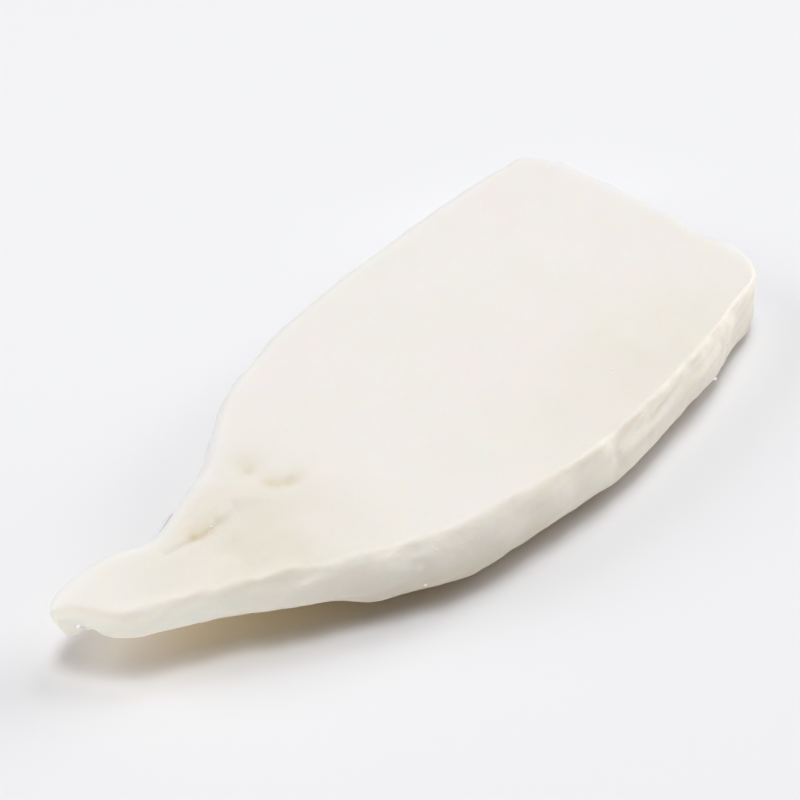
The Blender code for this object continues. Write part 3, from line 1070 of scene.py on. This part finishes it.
frost_ice = new_ice("frost, fine ice crystals", "F4F3F0", "ECEBE8", 0.003, {
    "Roughness": 0.75,
    "Subsurface Weight": 0.5,
    "Subsurface Scale": 0.0006,
    "Emission Strength": FROST_GLOW,
})
clear_ice = new_ice("clear ice, frozen drops", "F4F5F3", "E9EBE8", 0.002, {
    "Roughness": 0.12,
    "Transmission Weight": 0.10,
    "Subsurface Weight": 0.6,
    "Subsurface Scale": 0.0005,
    "Emission Strength": ICE_GLOW,
})
# Painted shade: the flake is greyer than the other ice, for the shaded edge along the neck's
# outline.
shaded_flake_ice, tree, surface = new_material("thin ice flake, painted grey for edge shade")
fill(surface, {"Base Color": linear("D4D5D6"), "Roughness": 0.4, "IOR": ICE_INDEX,
               "Emission Color": linear("E4E6E8"), "Emission Strength": FROST_GLOW})
print("ice materials:", [ice.name for ice in (frost_ice, clear_ice, shaded_flake_ice)])

# %% [markdown]
# ## Scattering small things
#
# A crumb or a bead sits on the skin, a little sunk in. Each is one small shape, which
# is turned and stretched at random with a fixed seed. A crumb has flat faces and
# corners, like ice that broke, and a bead is a ball.


# %% Small shapes
def crumb_shape():
    """The icosahedron: twelve corners from the golden ratio and twenty faces."""
    gold = (1 + math.sqrt(5)) / 2
    corners = [(-1, gold, 0), (1, gold, 0), (-1, -gold, 0), (1, -gold, 0),
               (0, -1, gold), (0, 1, gold), (0, -1, -gold), (0, 1, -gold),
               (gold, 0, -1), (gold, 0, 1), (-gold, 0, -1), (-gold, 0, 1)]
    faces = [(0, 11, 5), (0, 5, 1), (0, 1, 7), (0, 7, 10), (0, 10, 11),
             (1, 5, 9), (5, 11, 4), (11, 10, 2), (10, 7, 6), (7, 1, 8),
             (3, 9, 4), (3, 4, 2), (3, 2, 6), (3, 6, 8), (3, 8, 9),
             (4, 9, 5), (2, 4, 11), (6, 2, 10), (8, 6, 7), (9, 8, 1)]
    return np.array(corners) / math.hypot(1, gold), faces


def bead_shape(rings=6, segments=10):
    """A ball of rings and segments: (sin v cos u, sin v sin u, cos v) with a pole
    at each end."""
    v = np.linspace(0, math.pi, rings + 1)[1:-1, None]
    u = np.linspace(0, 2 * math.pi, segments, endpoint=False)[None]
    ball = np.broadcast_arrays(np.sin(v) * np.cos(u), np.sin(v) * np.sin(u), np.cos(v))
    count = (rings - 1) * segments
    last = count - segments
    faces = ring_faces(rings - 1, segments)
    faces += [(count, (k + 1) % segments, k) for k in range(segments)]
    faces += [(count + 1, last + k, last + (k + 1) % segments) for k in range(segments)]
    return np.concatenate((np.stack(ball, axis=-1).reshape(-1, 3), ((0, 0, 1), (0, 0, -1)))), faces


def random_turns(count, rng):
    """Rotation matrices from random unit quaternions (w, x, y, z)."""
    turns = rng.normal(size=(4, count))
    w, x, y, z = turns / np.linalg.norm(turns, axis=0)
    terms = (1 - 2 * (y * y + z * z), 2 * (x * y - w * z), 2 * (x * z + w * y),
             2 * (x * y + w * z), 1 - 2 * (x * x + z * z), 2 * (y * z - w * x),
             2 * (x * z - w * y), 2 * (y * z + w * x), 1 - 2 * (x * x + y * y))
    return np.stack(terms, axis=-1).reshape(-1, 3, 3)


print("crumb:", len(crumb_shape()[1]), "faces, bead:", len(bead_shape()[1]), "faces")

# %% [markdown]
# Each copy is set at a chosen point of the skin's grid. All copies are worked out at
# once as one array and put in one mesh: hundreds of separate objects would look the
# same and be slower to handle.

# %% Scattering
NARROWEST = 0.6
LIFT = 0.6


def scattered(name, shape, spots, radii, material, rng, flat=0.75, jitter=0.0, sunk=0.25):
    """One piece of many copies of a shape: copy i is jittered, flattened, turned,
    scaled by radius i and set on grid point i of the skin, sunk by a share of it."""
    corners, faces = shape
    count = len(spots)
    copies = corners * (1 + jitter * rng.uniform(-1, 1, (count, len(corners), 1)))
    stretches = (np.ones(count), rng.uniform(NARROWEST, 1, count), np.full(count, flat))
    copies = copies * np.stack(stretches, axis=-1)[:, None]
    copies = np.einsum("nij,nkj->nki", random_turns(count, rng), copies) * radii[:, None, None]
    lifts = skin_normals.reshape(-1, 3)[spots] * (radii * (LIFT - sunk))[:, None]
    centres = skin.reshape(-1, 3)[spots] + lifts
    points = np.clip(placed(copies + centres[:, None]).reshape(-1, 3), low, high)
    starts = range(0, count * len(corners), len(corners))
    faces = [tuple(start + corner for corner in face) for start in starts for face in faces]
    return new_piece(name, points, faces, material)


def chosen_spots(named, chance, count, rng):
    """Grid points of the skin: the nearest one to each named place, then others
    drawn by the chance there times the area of a cell, none inside the crease."""
    nearest = [np.linalg.norm(skin - place, axis=-1).argmin() for place, radius in named]
    step_along = np.linalg.norm(np.gradient(skin, axis=0), axis=-1)
    step_round = np.linalg.norm(np.roll(skin, -1, axis=1) - skin, axis=-1)
    share = chance * step_along * step_round
    share[-2 * LIP_STEPS:] = 0
    share = (share / share.sum()).reshape(-1)
    return np.append(nearest, rng.choice(share.size, count, replace=False, p=share))


print("points to choose from:", skin[..., 0].size)

# %% [markdown]
# ## Frost crumbs
#
# Crumbs of frost, a quarter to two thirds of a millimetre across, cling to the rims,
# thickest along the front rim beside the cone, and thin over every edge. Four flecks
# have their own places: two in the neck's fold, and two larger ones at the tail tip.
# The other radii are drawn with a power, because small crumbs are the most common.

# %% Scatter the frost
FLECKS = (
    ((0.0404, 0.0005, 0.0201), 0.00034),
    ((0.0392, -0.0004, 0.0200), 0.00022),
    ((0.0021, 0.0032, 0.0154), 0.00105),
    ((0.0042, 0.0022, 0.0136), 0.00085),
)
CRUMBS = 120
SMALLEST_CRUMB, CRUMB_RANGE, CRUMB_POWER = 0.00012, 0.00022, 2.5
RIM_CHANCE = 0.035
rng = np.random.default_rng(5)
rims = wall_mask(skin_normals) * (skin_normals[..., 2] > -0.2)
crumb_spots = chosen_spots(FLECKS, masks["frost"] ** 2 + RIM_CHANCE * rims, CRUMBS, rng)
crumb_radii = SMALLEST_CRUMB + CRUMB_RANGE * rng.random(CRUMBS) ** CRUMB_POWER
crumb_radii = np.append([radius for place, radius in FLECKS], crumb_radii)
scattered("frost_crumbs", crumb_shape(), crumb_spots, crumb_radii, frost_ice, rng,
          jitter=0.25, sunk=0.65)

# %% [markdown]
# ## Beads of ice
#
# A few drops froze where they ran, on the front rim and at the foot of the wall, and
# have their own places. Smaller ones are spread thinly, most on the rims, towards
# the mouth.

# %% Beads of ice
BEADS = (
    ((0.1438, -0.0481, 0.0218), 0.00030),
    ((0.1397, -0.0501, 0.0193), 0.00028),
    ((0.1465, -0.0358, 0.0228), 0.00025),
    ((0.1787, -0.0463, 0.0056), 0.00050),
    ((0.0680, -0.0415, 0.0090), 0.00035),
)
SMALL_BEADS = 40
SMALLEST_BEAD, BEAD_RANGE = 0.00010, 0.00018
BEADS_PLACE, BEADS_LONG, BEADS_ELSEWHERE = 0.150, 0.045, 0.02
rng = np.random.default_rng(8)
bead_chance = rims * bell(plain_skin[..., 0] - BEADS_PLACE, BEADS_LONG) + BEADS_ELSEWHERE
bead_spots = chosen_spots(BEADS, bead_chance, SMALL_BEADS, rng)
bead_radii = SMALLEST_BEAD + BEAD_RANGE * rng.random(SMALL_BEADS)
bead_radii = np.append([radius for place, radius in BEADS], bead_radii)
scattered("ice_beads", bead_shape(), bead_spots, bead_radii, clear_ice, rng, flat=0.85)

# %% [markdown]
# ## A flake of glaze at the neck
#
# Where the neck narrows, a thin flake of glaze stands off the left fold. It is a
# profile carried along a path: the path runs along the fold, and the profile is a
# thin wedge, rooted in the flesh, whose free edge is ragged.

# %% Neck flake
FLAKE_START, FLAKE_END = 0.0285, 0.0395
FLAKE_ROWS = 60
FLAKE_INSIDE, FLAKE_BELOW = 0.0013, 0.0022
FLAKE_REACH = 0.0006
FLAKE_THICK = 0.00025
FLAKE_LEAN, FLAKE_UP = np.array((0.0, 0.96, 0.28)), np.array((0.0, -0.28, 0.96))
LARGE_TEETH = Texture(0.25, 0.0022, 91)
SMALL_TEETH = Texture(0.10, 0.0009, 92)
WEDGE = np.array(((-1.0, 0.0), (0.2, 1.0), (0.9, 0.8), (1.3, 0.5),
                  (1.5, 0.0), (1.3, -0.5), (0.9, -0.8), (0.2, -1.0)))


def neck_flake():
    """Rows along the fold by eight places round the wedge, which are across and
    up. Its reach is the root of a half sine, times ragged noise."""
    part = np.linspace(0, 1, FLAKE_ROWS)[:, None]
    x = FLAKE_START + (FLAKE_END - FLAKE_START) * part
    y = smooth_curve("left", x) - FLAKE_INSIDE
    z = smooth_curve("rim", x) - FLAKE_BELOW
    path = np.concatenate((x, y, z), axis=1)
    along = path * (1, 0, 0)
    ragged = 1 + rough(along, LARGE_TEETH) + rough(along, SMALL_TEETH)
    reach = FLAKE_REACH * np.sin(math.pi * part) ** 0.5 * ragged[:, None]
    across = (WEDGE[:, 0] * reach)[..., None] * FLAKE_LEAN
    return path[:, None] + across + WEDGE[:, 1, None] * FLAKE_THICK / 2 * FLAKE_UP


wedge = neck_flake()
places = len(WEDGE)
last = (FLAKE_ROWS - 1) * places
ends = [tuple(range(places)), tuple(reversed(range(last, last + places)))]
flake_faces = ring_faces(FLAKE_ROWS, places) + ends
new_piece("neck_flake", placed(wedge.reshape(-1, 3)), flake_faces, shaded_flake_ice)

# %% [markdown]
# ## Finish
#
# The view layer is brought up to date.

# %% Finish
bpy.context.view_layer.update()
